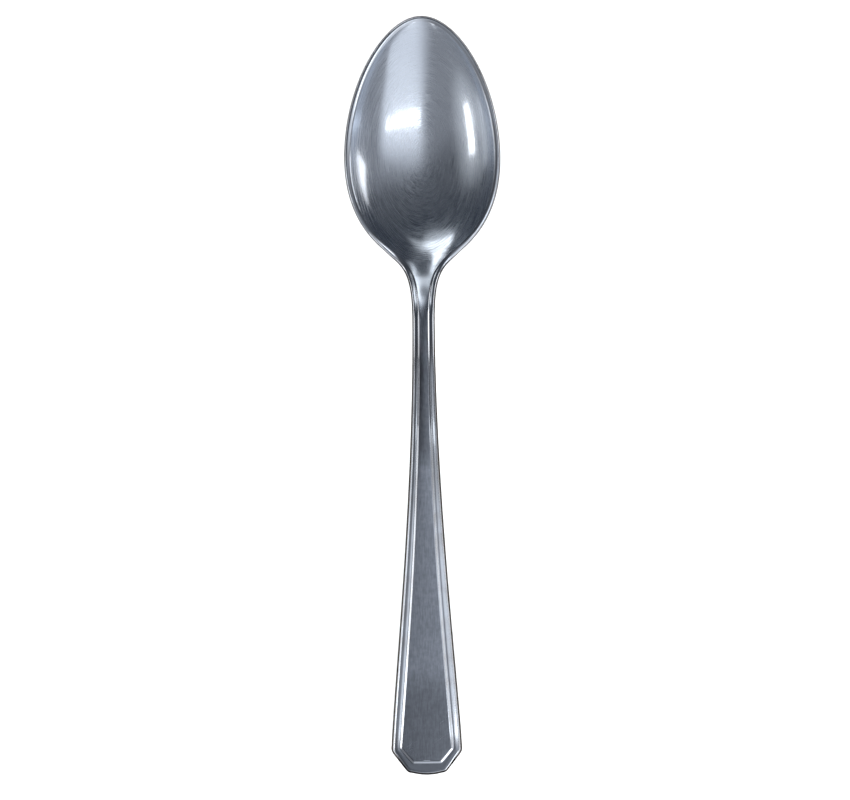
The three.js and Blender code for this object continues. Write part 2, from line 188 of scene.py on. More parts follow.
# How far a curve keeps its first direction, as a share of its run
TIP_FULLNESS = 0.475
TIP_SIDE_FULLNESS = 0.522
WIDEST_FULLNESS = 0.665
SHOULDER_BOWL_FULLNESS = 0.12
SHOULDER_NECK_FULLNESS = 0.3
NECK_BOWL_FULLNESS = 0.757
NECK_HANDLE_FULLNESS = 0.41
FLARE_FULLNESS = 0.171
PANEL_NECK_FULLNESS = 0.45
PANEL_FLARE_FULLNESS = 0.3
TIP_FLOOR_RUN = 0.22
TIP_FLOOR_FALL = 0.62
FLOOR_TIP_FULLNESS = 0.42
FLOOR_NECK_FULLNESS = 0.5
CREST_NECK_FULLNESS = 0.6
CREST_END_FULLNESS = 0.3
END_FULLNESS = 0.46

# Swell of the neck: its top from the narrowest place, its rise from the bowl, its fall to the handle
SWELL_TOP = -0.5 * MM
SWELL_RISE = 9 * MM
SWELL_FALL = 20 * MM

DIP_RUN = 9 * MM  # over which the bowl's edge dips, half on each side of the shoulder

# Shares of the shoulder's run over which the lip widens into the border and the panel rises
BORDER_OPENING = 0.45
PANEL_OPENING = 0.65
BEVEL_FOOT = 0.2  # share of the bevel that is its hollow foot
BEVEL_TOP = 0.32  # share of the bevel that rounds over into the panel
LIP_BACK_TURN = radians(45)
HANDLE_BACK_TURN = radians(85)

# How finely each stretch of the outline, and each band across it, is divided
TIP_STEPS = 64
BOWL_STEPS = 44
SHOULDER_STEPS = 48
HANDLE_STEPS = 84
CORNER_STEPS = 6
CLIP_STEPS = 9
HALF_STEPS = 26
HALF_CROWDING = radians(70)
STEEP_STEPS = 3
ROUNDING_STEPS = 7
DOME_STEPS = 6
BEVEL_STEPS = 9
BACK_STEPS = 5
# From this column outwards the edge is tinted warm and darkened as painted shade.
EDGE_COLUMN = BEVEL_STEPS + DOME_STEPS + ROUNDING_STEPS  # where the tarnished part of the edge starts
SIDE_VIEW_STEPS = 2000

# Of the mesh: distance at which points become one, shortest side of a face, and angle of a sharp edge
MERGED = 2e-7
SLIVER = 1e-8
SHARP_EDGE = radians(28)


def blend(first, second, part):
    """From the first at 0 to the second at 1."""
    return first + (second - first) * part


def eased(y, start, end):
    """0 at one place along the spoon, 1 at another nearer the end of the handle, with level ends."""
    t = np.clip((start - y) / (start - end), 0, 1)
    return t**3 * (t * (6 * t - 15) + 10)


def filleted_max(first, second, size):
    """The larger of two heights, with a fillet where they cross."""
    near = np.maximum(size - np.abs(first - second), 0) / size
    return np.maximum(first, second) + near**2 * size / 4


def pull(point, turn, distance):
    """A point at a distance from another, at an angle from -Y towards -X."""
    return point - distance * np.array((sin(turn), cos(turn)))


def curve(corners, steps):
    """Points along a Bezier curve, without the last one."""
    t = np.linspace(0, 1, steps, endpoint=False)[:, None]
    points = np.array(corners, float)
    while len(points) > 1:
        points = [blend(a, b, t) for a, b in zip(points, points[1:])]
    return points[0]


def heading(corners, steps):
    """Directions along the same curve."""
    way = curve(np.diff(np.array(corners, float), axis=0), steps)
    return way / np.linalg.norm(way, axis=1, keepdims=True)


class SpoonShape:
    """The spoon's surfaces on the +X side as grids of points, in metres."""

    def __init__(self, outline, section):
        self.o = outline
        self.s = section
        self.tip = outline.long / 2
        self.end = -outline.long / 2
        self.widest = self.tip - outline.tip_to_widest
        self.floor = self.widest - section.widest_to_floor
        self.shoulder = self.widest - outline.widest_to_shoulder
        self.neck = self.shoulder - outline.shoulder_to_neck
        self.crest = self.neck - section.neck_to_crest
        self.clip_end = self.end + outline.end_bulge
        self.clip = self.clip_end + outline.clip_length
        self.inner_tip = self.tip - section.lip_width
        self.centre_line = self.side_view()

    # Outline

    def bowl_curves(self):
        """The three curves of the bowl's outline, each with its number of steps."""
        o = self.o
        tip = np.array((0, self.tip))
        widest = np.array((o.bowl_width / 2, self.widest))
        shoulder = np.array((o.shoulder_width / 2, self.shoulder))
        neck = np.array((o.neck_width / 2, self.neck))
        tip_curve = (
            tip, (widest[0] * TIP_FULLNESS, self.tip),
            (widest[0], self.widest + o.tip_to_widest * TIP_SIDE_FULLNESS), widest,
        )
        side_curve = (
            widest, (widest[0], self.widest - o.widest_to_shoulder * WIDEST_FULLNESS),
            pull(shoulder, o.shoulder_angle, -o.widest_to_shoulder * SHOULDER_BOWL_FULLNESS), shoulder,
        )
        shoulder_curve = (
            shoulder, pull(shoulder, o.shoulder_angle, o.shoulder_to_neck * SHOULDER_NECK_FULLNESS),
            (neck[0], self.neck + o.shoulder_to_neck * NECK_BOWL_FULLNESS), neck,
        )
        return ((tip_curve, TIP_STEPS), (side_curve, BOWL_STEPS), (shoulder_curve, SHOULDER_STEPS))

    def flared_side(self, start, start_fullness, corner, flare, fullness, clip_end, rounding):
        """The flared side of the handle or of its panel, its clipped corner, and where that ends."""
        start, corner, clip_end = (np.array(point) for point in (start, corner, clip_end))
        run = start[1] - corner[1]
        clip = clip_end - corner
        clip *= rounding / np.linalg.norm(clip)
        corner_start = pull(corner, -flare, -rounding)
        last = clip_end - (rounding, 0)
        pulled = pull(corner_start, -flare, -run * fullness)
        side = (start, start - (0, run * start_fullness), pulled, corner_start)
        fine = curve(side, SIDE_VIEW_STEPS)[::-1]
        y = np.linspace(start[1], corner_start[1], HANDLE_STEPS, endpoint=False)
        points = np.concatenate((
            np.stack((np.interp(y, fine[:, 1], fine[:, 0]), y), axis=1),
            curve((corner_start, corner, corner + clip), CORNER_STEPS),
            curve((corner + clip, clip_end - clip), CLIP_STEPS),
            curve((clip_end - clip, clip_end, last), CORNER_STEPS),
        ))
        return points, last

    def border_width(self, y):
        """Width of the border around the bowl: the lip, which widens from the shoulder to the neck."""
        opened = blend(self.shoulder, self.neck, BORDER_OPENING)
        at_neck = (self.o.neck_width - self.o.panel_neck_width) / 2
        return blend(self.s.lip_width, at_neck, eased(y, self.shoulder, opened))

    def edges(self):
        """Outer edge, and edge of the bowl and panel, from the tip round to the axis at the end."""
        o = self.o
        outer, inner = [], []
        for corners, steps in self.bowl_curves():
            points = curve(corners, steps)
            way = heading(corners, steps)
            square = np.stack((way[:, 1], -way[:, 0]), axis=1)
            outer.append(points)
            inner.append(points + self.border_width(points[:, 1:]) * square)
        handle, handle_last = self.flared_side(
            (o.neck_width / 2, self.neck), NECK_HANDLE_FULLNESS,
            (o.end_width / 2, self.clip), o.flare_angle, FLARE_FULLNESS,
            (o.end_width / 2 - o.clip_depth, self.clip_end), o.clip_rounding,
        )
        panel_end = self.end + o.panel_end_border
        panel, panel_last = self.flared_side(
            (o.panel_neck_width / 2, self.neck), PANEL_NECK_FULLNESS,
            (o.panel_end_width / 2, panel_end + o.panel_clip_length),
            o.panel_flare_angle, PANEL_FLARE_FULLNESS,
            (o.panel_end_width / 2 - o.panel_clip_depth, panel_end), o.panel_clip_rounding,
        )
        across = self.half_shares()[::-1]
        bow = blend(self.end, handle_last[1], across**2)
        outer += [handle, np.stack((handle_last[0] * across, bow), axis=1)]
        inner += [panel, np.stack((panel_last[0] * across, np.full_like(across, panel_last[1])), axis=1)]
        sections = sum(len(points) for points in outer[:-1]) + 1
        return np.concatenate(outer), np.concatenate(inner), sections

    def half_shares(self):
        """Shares of a half width from the axis outwards, crowded towards the border."""
        return np.sin(np.linspace(0, HALF_CROWDING, HALF_STEPS + 1)) / sin(HALF_CROWDING)

    # Heights

    def floor_corners(self, start, floor):
        """The floor of the bowl, or its underside, from the tip down to the deepest place."""
        run = start[0] - self.floor
        fall = start[1] - floor
        below_tip = (start[0] - run * TIP_FLOOR_RUN, start[1] - fall * TIP_FLOOR_FALL)
        return start, below_tip, (self.floor + run * FLOOR_TIP_FULLNESS, floor), (self.floor, floor)

    def side_view(self):
        """The top surface along the axis, seen from the side: floor, neck, arch and end."""
        s = self.s
        slope = tan(s.end_slope)
        end_height = s.end_thickness - slope * (self.o.end_bulge + s.back_radius)
        neck_run = self.floor - self.crest
        handle_run = self.crest - self.end
        crest = (self.crest, s.crest_height)
        neck = (
            (self.floor, s.floor_thickness),
            (self.floor - neck_run * FLOOR_NECK_FULLNESS, s.floor_thickness),
            (self.crest + neck_run * CREST_NECK_FULLNESS, s.crest_height), crest,
        )
        end_run = handle_run * END_FULLNESS
        handle = (
            crest, (self.crest - handle_run * CREST_END_FULLNESS, s.crest_height),
            (self.end + end_run, end_height + slope * end_run), (self.end, end_height),
        )
        tip = (self.inner_tip, float(self.lip_line(self.inner_tip)))
        floor = self.floor_corners(tip, s.floor_thickness)
        line = [curve(corners, SIDE_VIEW_STEPS) for corners in (floor, neck, handle)]
        return np.concatenate((*line, [handle[-1]]))[::-1]

    def centre(self, y):
        """Height of the top surface on the axis."""
        top = self.neck + SWELL_TOP
        swell = eased(y, top + SWELL_RISE, top) - eased(y, top, top - SWELL_FALL)
        return np.interp(y, self.centre_line[:, 0], self.centre_line[:, 1]) + self.s.neck_swell * swell

    def lip_line(self, y):
        """The bowl's inner edge, which rises to the tip and dips at the neck."""
        rise = np.maximum(y - self.widest, 0) / self.o.tip_to_widest
        dip = self.s.heel_dip * eased(y, self.shoulder + DIP_RUN / 2, self.shoulder - DIP_RUN / 2)
        return blend(self.s.lip_height, self.s.tip_height, rise**2) - dip

    def inner_edge(self, y):
        """The inner edge of the border: the bowl's edge, then the side of the slightly domed panel."""
        s = self.s
        crown = blend(s.neck_crown, s.panel_crown, eased(y, self.neck, self.neck - s.crown_fade))
        panel = self.centre(np.minimum(y, self.inner_tip)) - crown * eased(y, self.shoulder, self.neck)
        lip = self.lip_line(y)
        heel = np.where(y > self.neck, filleted_max(lip, panel, s.heel_fillet), panel)
        return np.where(y > self.widest, lip, heel)

    def on_handle(self, y):
        """How far a place has changed from bowl to handle."""
        return eased(y, self.shoulder, blend(self.shoulder, self.neck, PANEL_OPENING))

    def broad(self, y):
        """How far a place has changed from neck to broad handle."""
        return eased(y, self.neck, self.neck - self.s.neck_fade)

    def on_end(self, y):
        """How far a place has changed from the handle's side to its end."""
        return eased(y, self.clip + self.o.clip_rounding, self.clip_end)

    def metal_below(self, y):
        """Thickness at the axis, upright wall, turn of the lower rounding and fullness of the back."""
        s = self.s
        to_neck = eased(y, self.floor, self.neck)
        on_handle, broad = self.on_handle(y), self.broad(y)
        under_bowl = s.floor_thickness + s.rest_flat
        thickness = blend(blend(under_bowl, s.neck_thickness, to_neck), s.end_thickness, broad)
        wall = blend(blend(s.lip_wall, s.neck_wall, on_handle), s.end_wall, broad)
        turn = blend(LIP_BACK_TURN, HANDLE_BACK_TURN, on_handle)
        return thickness, wall, turn, blend(s.bowl_fullness, s.back_fullness, broad)

    # Surfaces

    def border(self, outer, inner):
        """Rows of points from the panel's edge over the border and down to the start of the back."""
        s = self.s
        y = outer[:, 1:]
        width = np.linalg.norm(outer - inner, axis=1)[:, None]
        on_handle, broad, on_end = self.on_handle(y), self.broad(y), self.on_end(y)
        bevel = blend(blend(s.bevel_neck_width, s.bevel_width, broad), s.bevel_end_width, on_end)
        slope = blend(s.lip_roll_width, bevel, on_handle)
        foot = width - slope
        edge = np.minimum(s.edge_width, s.edge_share * foot)
        turn = blend(s.edge_turn, s.edge_end_turn, on_end)
        fall = 4 * s.border_dome * (1 - on_end)  # of the dome, at its two sides

        # Rounding of the edge, and its steep outer part
        meeting = np.arctan(fall)
        tilt = blend(turn, meeting, np.linspace(0, 1, ROUNDING_STEPS, endpoint=False))
        radius = edge * (1 - s.edge_steep) / (np.sin(turn) - np.sin(meeting))
        rounding_in = edge - radius * (np.sin(tilt) - np.sin(meeting))
        rounding_up = radius * (np.cos(tilt) - np.cos(meeting))
        steep_in = rounding_in[:, :1] * np.linspace(0, 1, STEEP_STEPS, endpoint=False)
        steep_up = rounding_up[:, :1] - (rounding_in[:, :1] - steep_in) * np.tan(turn)

        # Dome of the border
        t = np.linspace(0, 1, DOME_STEPS, endpoint=False)
        dome_in = blend(edge, foot, t)
        dome_up = fall * (foot - edge) * t * (1 - t)

        # Roll into the bowl, or bevel up to the panel
        t = np.linspace(0, 1, BEVEL_STEPS + 1)
        roll_in = blend(foot, width, t)
        lip_roll = -s.lip_fall * t**2 - fall * slope * t * (1 - t)
        panel_rise = blend(s.panel_neck_rise, s.panel_rise, broad)
        roll_up = blend(lip_roll, panel_rise * bevel_ramp(t), on_handle)

        distance = np.concatenate((steep_in, rounding_in, dome_in, roll_in), axis=1)
        rise = blend(-s.lip_fall, panel_rise, on_handle)
        height = np.concatenate((steep_up, rounding_up, dome_up, roll_up), axis=1) - rise
        top = self.between(outer, inner, distance / width)
        top[:, :, 2] = self.inner_edge(top[:, :, 1]) + height
        top = top[:, ::-1]

        _, wall, turn, _ = self.metal_below(y)
        tilt = turn * np.linspace(0, 1, BACK_STEPS + 1)
        back = self.between(outer, inner, s.back_radius * (1 - np.cos(tilt)) / width)
        back[:, :, 2] = top[:, -1, 2:] - wall - s.back_radius * np.sin(tilt)
        return np.concatenate((top, back), axis=1)

    @staticmethod
    def between(outer, inner, part):
        """Points at shares of the way from the outer to the inner edge, with no height yet."""
        plan = outer[:, None] + (inner - outer)[:, None] * part[:, :, None]
        return np.concatenate((plan, np.zeros_like(plan[:, :, :1])), axis=2)

    def half_sections(self, edge, axis, fullness):
        """Rows of points from the axis to an edge."""
        across = self.half_shares()
        dome = blend(across**2, across**4, fullness)
        x = edge[:, :1] * across
        y = np.broadcast_to(edge[:, 1:2], x.shape)
        return np.stack((x, y, blend(axis, edge[:, 2:], dome)), axis=2)

    def surfaces(self):
        """Top, border, edge, back and its end as grids of points."""
        outer, inner, sections = self.edges()
        border = self.border(outer, inner)
        edge = border[:sections, 0]
        top = self.half_sections(edge, self.centre(edge[:, 1:2]), self.s.bowl_fullness)
        edge = border[:sections, -1]
        thickness, _, _, fullness = self.metal_below(edge[:, 1:2])
        underside = curve(self.floor_corners(edge[0, 1:], -self.s.rest_flat), SIDE_VIEW_STEPS)[::-1]
        bowl_axis = np.interp(edge[:, 1:2], underside[:, 0], underside[:, 1])
        axis = np.where(edge[:, 1:2] > self.floor, bowl_axis, self.centre(edge[:, 1:2]) - thickness)
        back = self.half_sections(edge, axis, fullness)
        border[sections - 1:, 0] = top[-1, ::-1]
        for grid in (border, back):
            grid[:, :, 2] = np.maximum(grid[:, :, 2], 0)
        end = np.stack((border[sections - 1:, -1], back[-1, ::-1]), axis=1)
        return top, border[:, :EDGE_COLUMN + 1], border[:, EDGE_COLUMN:], back[:, ::-1], end


def bevel_ramp(t):
    """A straight ramp from 0 to 1 with a hollow foot and a rounded top."""
    steep = 1 / (1 - (BEVEL_FOOT + BEVEL_TOP) / 2)
    foot = steep * t**2 / (2 * BEVEL_FOOT)
    straight = steep * (t - BEVEL_FOOT / 2)
    top = 1 - steep * (1 - t) ** 2 / (2 * BEVEL_TOP)
    return np.where(t < BEVEL_FOOT, foot, np.where(t > 1 - BEVEL_TOP, top, straight))


def spoon_mesh(grids, finishes):
    """One closed mesh from grids of points on the +X side and their mirror images."""
    points, faces, finish = [], [], []
    count = 0
    for grid, number in zip(grids, finishes):
        rows, columns = grid.shape[:2]
        index = np.arange(rows * columns).reshape(rows, columns)
        corners = (index[:-1, :-1], index[1:, :-1], index[1:, 1:], index[:-1, 1:])
        quads = np.stack(corners, axis=2).reshape(-1, 4)
        for side in (1, -1):
            points.append(grid.reshape(-1, 3) * (side, 1, 1))
            faces.append(quads[:, ::side] + count)
            finish.append(np.full(len(quads), number))
            count += rows * columns
    mesh = bpy.data.meshes.new("teaspoon_steel")
    mesh.from_pydata(np.concatenate(points).tolist(), [], np.concatenate(faces).tolist())
    mesh.polygons.foreach_set("material_index", np.concatenate(finish).astype(np.int32))
    body = bmesh.new()
    body.from_mesh(mesh)
    bmesh.ops.remove_doubles(body, verts=body.verts, dist=MERGED)
    bmesh.ops.dissolve_degenerate(body, edges=body.edges, dist=SLIVER)
    for face in body.faces:
        face.smooth = True
    body.to_mesh(mesh)
    body.free()
    mesh.set_sharp_from_angle(angle=SHARP_EDGE)
    return mesh


# Materials


class Nodes:
    """Adds and joins the nodes of one material, world or group."""

    def __init__(self, tree):
        self.tree = tree

    def add(self, kind, values=(), **settings):
        """A node with its settings, and with values or links in its sockets."""
        node = self.tree.nodes.new(kind)
        for name, value in settings.items():
            setattr(node, name, value)
        for name, value in dict(values).items():
            self.feed(node.inputs[name], value)
        return node

    def feed(self, socket, value):
        """Link another socket to this one, or set its value."""
        if isinstance(value, bpy.types.NodeSocket):
            self.tree.links.new(value, socket)
        else:
            socket.default_value = value

    def math(self, operation, first, second=0, third=0):
        return self.add("ShaderNodeMath", {0: first, 1: second, 2: third}, operation=operation).outputs[0]

    def product(self, first, *others):
        for other in others:
            first = self.math("MULTIPLY", first, other)
        return first

    def sum(self, first, second):
        return self.math("ADD", first, second)

    def line(self, value, slope, start):
        """A value times a slope, with a start added."""
        return self.math("MULTIPLY_ADD", value, slope, start)

    def positive(self, value):
        return self.math("MAXIMUM", value, 0)

    def ramp(self, value, low, high, to_low=0, to_high=1):
        """A smooth change between two values, level outside them."""
        values = {"Value": value, "From Min": low, "From Max": high, "To Min": to_low, "To Max": to_high}
        return self.add("ShaderNodeMapRange", values, interpolation_type="SMOOTHSTEP").outputs[0]

    def blend(self, part, first, second):
        """One number at 0, another at 1."""
        return self.add("ShaderNodeMix", {0: part, 2: first, 3: second}).outputs[0]

    def mix(self, part, first, second):
        """One colour at 0, another at 1."""
        return self.add("ShaderNodeMix", {0: part, 6: first, 7: second}, data_type="RGBA").outputs[2]

    def vector(self, operation, first, second=None):
        """A vector, or a number, from one or two vectors or from a vector and a number that scales it."""
        node = self.add("ShaderNodeVectorMath", {0: first}, operation=operation)
        if second is not None:
            self.feed(node.inputs["Scale" if operation == "SCALE" else 1], second)
        return node.outputs["Value" if operation in ("LENGTH", "DOT_PRODUCT") else "Vector"]

    def split(self, vector):
        return self.add("ShaderNodeSeparateXYZ", {"Vector": vector}).outputs

    def noise(self, place, scale, detail, roughness=0.5):
        """A noise as a number and as a colour."""
        values = {"Vector": place, "Scale": scale, "Detail": detail, "Roughness": roughness}
        return self.add("ShaderNodeTexNoise", values).outputs

    def group(self, group, place, **values):
        """The outputs of a group with its own values."""
        return self.add("ShaderNodeGroup", {"Place": place, **values}, node_tree=group).outputs


def rgba(values, strength=1):
    """A colour, made lighter or darker, with its alpha."""
    return (*(strength * part for part in values), 1)


NUMBER = "NodeSocketFloat"
PLACE = {"Place": (0, 0, 0)}
DRAWN_OUT = {**PLACE, "Turn": (0, 0, 0), "Density": (1, 1, 1)}


def new_group(name, inputs, outputs):
    """An empty shader node group with its sockets; gives the group, its nodes and both ends."""
    group = bpy.data.node_groups.new(name, "ShaderNodeTree")
    for label, value in inputs.items():
        kind = "NodeSocketVector" if isinstance(value, tuple) else NUMBER
        group.interface.new_socket(label, in_out="INPUT", socket_type=kind).default_value = value
    for label in outputs:
        group.interface.new_socket(label, in_out="OUTPUT", socket_type=NUMBER)
    nodes = Nodes(group)
    return group, nodes, nodes.add("NodeGroupInput").outputs, nodes.add("NodeGroupOutput").inputs


def drawn_out(nodes, place, given):
    """Places turned, and stretched so that a noise there becomes lines."""
    values = {"Vector": place, "Rotation": given["Turn"]}
    place = nodes.add("ShaderNodeVectorRotate", values, rotation_type="EULER_XYZ").outputs[0]
    return nodes.vector("MULTIPLY", place, given["Density"])


def grain_group():
    """Fine lines of brushing or buffing, drawn out along one direction."""
    group, nodes, given, out = new_group("steel_grain", DRAWN_OUT, ("Lines", "Streaks"))
    place = drawn_out(nodes, given["Place"], given)
    nodes.feed(out["Lines"], nodes.noise(place, 1, 3, 0.65)[0])
    nodes.feed(out["Streaks"], nodes.noise(place, 0.22, 2)[0])
    return group


BUFFING_MIDDLE = (0, 48, 0)  # of the ovals round the bowl, in millimetres
BUFFING_REACH = (15.4, 27, 1)


def buffing_group():
    """Buffing lines that run round the bowl, as ovals inside one another."""
    group, nodes, given, out = new_group("bowl_buffing", {**PLACE, "Rings": 55}, ("Lines",))
    level = nodes.vector("MULTIPLY", given["Place"], (1, 1, 0))
    oval = nodes.vector("DIVIDE", nodes.vector("SUBTRACT", level, BUFFING_MIDDLE), BUFFING_REACH)
    rings = nodes.product(nodes.vector("LENGTH", oval), given["Rings"])
    x, y = (nodes.product(part, 3) for part in nodes.split(nodes.vector("NORMALIZE", oval))[:2])
    lines = nodes.add("ShaderNodeCombineXYZ", {"X": rings, "Y": x, "Z": y}).outputs[0]
    nodes.feed(out["Lines"], nodes.noise(lines, 1, 1)[0])
    return group


def scratch_group():
    """Single hairline scratches, as a mask."""
    group, nodes, given, out = new_group("steel_hairlines", {**DRAWN_OUT, "Rarity": 0.7}, ("Mask",))
    bend = nodes.noise(given["Place"], 0.13, 0)[1]
    bent = nodes.vector("ADD", given["Place"], nodes.vector("SCALE", bend, 2.2))
    lines = nodes.noise(drawn_out(nodes, bent, given), 1, 0)[0]
    top = nodes.sum(given["Rarity"], 0.06)
    nodes.feed(out["Mask"], nodes.ramp(lines, given["Rarity"], top))
    return group


def dulling_group():
    """Broad soft patches where handling has dulled the polish, and a fine mottle."""
    group, nodes, given, out = new_group("steel_dulling", {**PLACE, "Size": 6}, ("Patches", "Mottle"))
    broad = nodes.noise(given["Place"], nodes.math("DIVIDE", 1, given["Size"]), 2)[0]
    nodes.feed(out["Patches"], nodes.ramp(broad, 0.35, 0.68))
    nodes.feed(out["Mottle"], nodes.noise(given["Place"], 1.1, 2, 0.6)[0])
    return group


def turned(degrees):
    """A turn of lines away from the length of the spoon."""
    return (0, 0, radians(degrees))


def new_steel(name):
    """A steel material, its nodes, and its coordinates in millimetres."""
    material = bpy.data.materials.new(name)
    material.use_nodes = True
    nodes = Nodes(material.node_tree)
    place = nodes.vector("SCALE", nodes.add("ShaderNodeTexCoord").outputs["Object"], 1 / MM)
    return material, nodes, place


def coated(material, nodes, metal, rough, height, strength, depth):
    """The steel with its colour, its roughness, and the relief of its lines to a depth in millimetres."""
    relief = nodes.add("ShaderNodeBump", {"Height": height, "Strength": strength, "Distance": depth * MM})
    looks = {"Base Color": metal, "Metallic": 1, "Roughness": rough, "Normal": relief.outputs[0]}
    for name, value in looks.items():
        nodes.feed(material.node_tree.nodes["Principled BSDF"].inputs[name], value)
    return material


def facing_up(nodes):
    """How far the surface faces up."""
    return nodes.split(nodes.add("ShaderNodeTexCoord").outputs["Normal"])[2]


BLACK = (0, 0, 0, 1)

# Places along the spoon, in millimetres from its middle, between which the finish or the painted shade
# changes
PANEL_START = (22, 14)
HEEL_HAZE = (22, 32)
HEEL_LINES = (24, 36)
PANEL_SHADE_START = (12, 0)
PANEL_CREST = ((14, 4), (-22, -9))
PANEL_END = (-40, -62)
SCRATCHED_END = (-56, -66)
BORDER_CREST = ((16, 4), (-34, -9))
LEDGE_START = (-66, -71)

# Lines in each millimetre across, along and up
PANEL_BRUSHING = (4, 0.4, 1)
PANEL_SCRATCHES = (6, 0.1, 0.3)
BOWL_STROKES = (2.6, 0.16, 0.5)
BORDER_POLISH = (5, 0.25, 2)
EDGE_POLISH = (3, 0.4, 4)
BACK_POLISH = (5, 0.3, 1)
BACK_SCRATCHES = (5, 0.12, 0.3)

STROKE_TURNS = (28, -44)  # degrees, of the two sets of strokes across the bowl
POLISH_RINGS = 700  # of the bowl's finest polish, too fine to be seen singly
RING_DEPTH = 0.6
STROKE_DEPTH = 0.2
LINE_HAZE = 0.14  # how much the lines add to the polish's haze
HAZY = (0.49, 0.69)
# Painted shade: how much darker the border is painted over the handle's arch.
BORDER_CREST_SHADE = 0.5


def buffed_steel(finish, grain, buffing, hairlines, dulling):
    """Inside of the bowl and top of the panel: buffed in the bowl, brushed lengthwise on the handle, and
    painted darker as shade past the neck, on the arch and at the end.
    """
    material, nodes, place = new_steel("buffed_steel")
    along = nodes.split(place)[1]
    on_panel = nodes.ramp(along, *PANEL_START)
    brushing = nodes.group(grain, place, Density=PANEL_BRUSHING)["Lines"]
    dull = nodes.group(dulling, place, Size=7)

    # Buffing lines of the bowl: round it, and two sets of straight strokes across it
    rings = nodes.group(buffing, place)["Lines"]
    polish = nodes.group(buffing, place, Rings=POLISH_RINGS)["Lines"]
    strokes = (nodes.group(grain, place, Turn=turned(each), Density=BOWL_STROKES) for each in STROKE_TURNS)
    strokes = nodes.sum(*(each["Lines"] for each in strokes))
    lines = nodes.line(rings, RING_DEPTH, nodes.product(strokes, STROKE_DEPTH))
    hazy = nodes.ramp(nodes.line(lines, LINE_HAZE, polish), *HAZY)
    hazy = nodes.product(hazy, nodes.ramp(along, *HEEL_HAZE, 0.2, 1))
    scratches = nodes.group(hairlines, place, Turn=turned(62), Density=PANEL_SCRATCHES, Rarity=0.71)
    scratches = nodes.product(scratches["Mask"], nodes.ramp(along, *SCRATCHED_END))

    worn = nodes.product(dull["Patches"], 0.25)
    bowl_metal = nodes.mix(worn, rgba(finish.steel), rgba(finish.worn))
    streaks = nodes.line(brushing, 0.65, nodes.product(dull["Mottle"], 0.35))
    dark, light = rgba(finish.brushed, 0.82), rgba(finish.brushed, 1.18)
    panel_metal = nodes.mix(nodes.ramp(streaks, 0.32, 0.68), dark, light)
    # Painted shade: the panel painted darker past the neck, on top of the handle's arch and at the end of
    # the handle.
    past_neck = nodes.ramp(along, *PANEL_SHADE_START, 0, finish.panel_painted_shade)
    at_end = nodes.ramp(along, *PANEL_END, 0, finish.end_painted_shade)
    on_crest = nodes.product(*(nodes.ramp(along, *side) for side in PANEL_CREST), finish.crest_painted_shade)
    dulled = nodes.math("MAXIMUM", nodes.math("MAXIMUM", past_neck, on_crest), at_end)
    panel_metal = nodes.mix(dulled, panel_metal, BLACK)
    metal = nodes.mix(on_panel, bowl_metal, panel_metal)

    bowl_rough = nodes.blend(hazy, finish.bowl_polish, finish.bowl_haze)
    panel_rough = nodes.line(nodes.math("SUBTRACT", brushing, 0.5), 0.2, finish.panel_roughness)
    rough = nodes.line(scratches, -0.08, nodes.blend(on_panel, bowl_rough, panel_rough))
    panel_height = nodes.line(dull["Mottle"], 0.5, brushing)
    bowl_height = nodes.product(lines, nodes.ramp(along, *HEEL_LINES, 0.02, 0.15))
    height = nodes.line(scratches, -0.3, nodes.blend(on_panel, bowl_height, panel_height))
    return coated(material, nodes, metal, rough, height, strength=1, depth=0.003)


def polished_steel(finish, grain, dulling):
    """Lip, border and bevel: polished bright, with a little tarnish, painted darker as shade over the
    handle's arch, and satin on the ledge at the end, painted darker as shade there.
    """
    material, nodes, place = new_steel("polished_steel")
    polish = nodes.group(grain, place, Density=BORDER_POLISH)
    patches = nodes.group(dulling, place, Size=5)["Patches"]
    along = nodes.split(place)[1]
    level = nodes.ramp(facing_up(nodes), 0.86, 0.91)
    satin = nodes.product(nodes.ramp(along, *LEDGE_START), level)
    metal = nodes.mix(nodes.line(patches, 0.25, 0.15), rgba(finish.steel), rgba(finish.tarnish_and_shade))
    # Painted shade: the border darkened over the arch, and the satin ledge at the end painted darker.
    on_crest = nodes.product(*(nodes.ramp(along, *side) for side in BORDER_CREST), BORDER_CREST_SHADE)
    metal = nodes.mix(on_crest, metal, BLACK)
    satin_metal = rgba(finish.brushed, 1 - finish.end_painted_shade)
    metal = nodes.mix(satin, metal, satin_metal)
    rough = nodes.line(nodes.math("SUBTRACT", polish["Lines"], 0.5), 0.1, finish.border_roughness)
    rough = nodes.line(satin, 0.2, nodes.line(patches, 0.05, rough))
    return coated(material, nodes, metal, rough, polish["Streaks"], strength=0.5, depth=0.006)


def edge_steel(finish, grain, dulling):
    """Outer edge: less polished, tinted a warm grey that also darkens it as painted shade, and painted
    near black as shade where it faces up.
    """
    material, nodes, place = new_steel("edge_steel")
    polish = nodes.group(grain, place, Density=EDGE_POLISH)["Lines"]
    patches = nodes.group(dulling, place, Size=4)["Patches"]
    # Painted shade: the edge is darkened by the warm tint, and painted near black where it faces up.
    painted_rim_shade = nodes.ramp(facing_up(nodes), 0.2, 0.6)
    metal = nodes.mix(nodes.line(patches, 0.3, 0.3), rgba(finish.steel), rgba(finish.tarnish_and_shade))
    metal = nodes.mix(painted_rim_shade, metal, rgba(finish.painted_rim_shade))
    rough = nodes.line(polish, 0.16, finish.border_roughness)
    return coated(material, nodes, metal, rough, polish, strength=0.5, depth=0.006)


